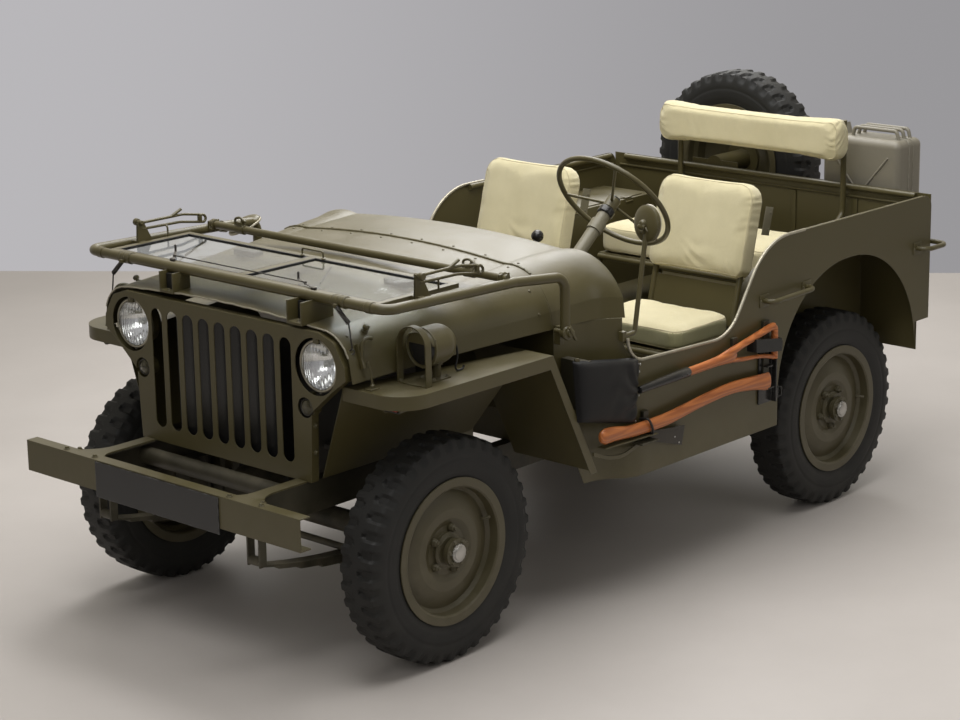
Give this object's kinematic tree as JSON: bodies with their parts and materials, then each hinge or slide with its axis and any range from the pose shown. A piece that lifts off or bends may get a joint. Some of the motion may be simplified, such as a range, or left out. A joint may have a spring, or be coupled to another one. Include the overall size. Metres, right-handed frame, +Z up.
{
  "type": "army 4x4 car",
  "caption": "Open army 4x4 car with slotted grille, windscreen folded on the hood, bar-tread tyres, canvas seats, spare wheel and fuel can at the rear.",
  "frame": {"origin": "on the floor under the middle of the car's bounding box", "axes": "+X forward, +Y to the driver's side (left), +Z up"},
  "size_m": [3.341, 1.608, 1.429],
  "materials": {
    "olive_paint": "semi-matte olive drab paint",
    "cast_metal": "painted casting",
    "dark_steel": "dark steel",
    "black_plate": "glossy blank plate",
    "lamp_glass": "clear lamp glass over a bright bowl",
    "window_glass": "clear flat glass",
    "tyre_rubber": "matt black rubber",
    "canvas": "pale khaki coated canvas",
    "bare_steel": "bare grey steel",
    "ash_wood": "oiled orange-brown wood",
    "black_leather": "black coated cloth"
  },
  "bodies": {
    "car": {"frame": "olive_paint", "bumper": "olive_paint", "leaf_springs": "olive_paint", "front_axle": "olive_paint", "rear_axle": "olive_paint", "propshafts": "olive_paint", "fuel_tank": "olive_paint", "grille": "olive_paint", "blackout_lamp": "olive_paint", "hood": "olive_paint", "cowl": "olive_paint", "fender_left": "olive_paint", "fender_right": "olive_paint", "side_left": "olive_paint", "side_right": "olive_paint", "wheelhouses": "olive_paint", "tub_floor": "olive_paint", "rear_panel": "olive_paint", "grab_handles": "olive_paint", "steering_column": "olive_paint", "mirror": "olive_paint", "front_seat_frames": "olive_paint", "rear_seat_frame": "olive_paint", "small_lamps": "olive_paint", "spare_rim": "olive_paint", "powertrain": "cast_metal", "radiator": "cast_metal", "exhaust": "dark_steel", "controls": "dark_steel", "tool_brackets": "dark_steel", "number_plate": "black_plate", "headlamps": "lamp_glass", "spare_tyre": "tyre_rubber", "front_seat_cushions": "canvas", "rear_seat_cushions": "canvas", "jerry_can": "bare_steel", "shovel": "ash_wood", "axe_handle": "ash_wood", "tool_cover": "black_leather"},
    "left_knuckle": {"knuckle_left": "olive_paint"},
    "right_knuckle": {"knuckle_right": "olive_paint"},
    "steering_rod": {"tie_rod": "olive_paint"},
    "front_left_wheel": {"rim_front_left": "olive_paint", "tyre_front_left": "tyre_rubber"},
    "front_right_wheel": {"rim_front_right": "olive_paint", "tyre_front_right": "tyre_rubber"},
    "rear_left_wheel": {"rim_rear_left": "olive_paint", "tyre_rear_left": "tyre_rubber"},
    "rear_right_wheel": {"rim_rear_right": "olive_paint", "tyre_rear_right": "tyre_rubber"},
    "steering_hand_wheel": {"steering_wheel": "olive_paint"},
    "windscreen": {"windscreen_frame": "olive_paint", "windscreen_glass": "window_glass"}
  },
  "joints": [
    {"name": "steer_left", "type": "hinge", "parent": "car", "child": "left_knuckle", "pos_m": [1.0845, 0.545, 0.355], "axis": [0, 0, 1], "range_deg": [-26, 26]},
    {"name": "steer_right", "type": "hinge", "parent": "car", "child": "right_knuckle", "pos_m": [1.0845, -0.545, 0.355], "axis": [0, 0, 1], "range_deg": [-26, 26]},
    {"name": "tie_rod_swing", "type": "hinge", "parent": "left_knuckle", "child": "steering_rod", "pos_m": [1.2445, 0.545, 0.343], "axis": [0, 0, 1], "range_deg": [-26, 26]},
    {"name": "steering_wheel_turn", "type": "hinge", "parent": "car", "child": "steering_hand_wheel", "pos_m": [-0.0725, 0.36, 1.215], "axis": [-0.7804, 0, 0.6252], "range_deg": [-364, 364]},
    {"name": "front_left_spin", "type": "hinge", "parent": "left_knuckle", "child": "front_left_wheel", "pos_m": [1.0845, 0.612, 0.355], "axis": [0, 1, 0], "continuous": true},
    {"name": "front_right_spin", "type": "hinge", "parent": "right_knuckle", "child": "front_right_wheel", "pos_m": [1.0845, -0.612, 0.355], "axis": [0, 1, 0], "continuous": true},
    {"name": "rear_left_spin", "type": "hinge", "parent": "car", "child": "rear_left_wheel", "pos_m": [-0.9475, 0.612, 0.355], "axis": [0, 1, 0], "continuous": true},
    {"name": "rear_right_spin", "type": "hinge", "parent": "car", "child": "rear_right_wheel", "pos_m": [-0.9475, -0.612, 0.355], "axis": [0, 1, 0], "continuous": true},
    {"name": "windscreen_fold", "type": "hinge", "parent": "car", "child": "windscreen", "pos_m": [0.5795, 0, 0.944], "axis": [0, -1, 0], "range_deg": [0, 90]}
  ],
  "couplings": [
    {"joint": "steer_right", "follows": "steer_left", "ratio": 1},
    {"joint": "tie_rod_swing", "follows": "steer_left", "ratio": -1},
    {"joint": "steering_wheel_turn", "follows": "steer_left", "ratio": 14}
  ]
}
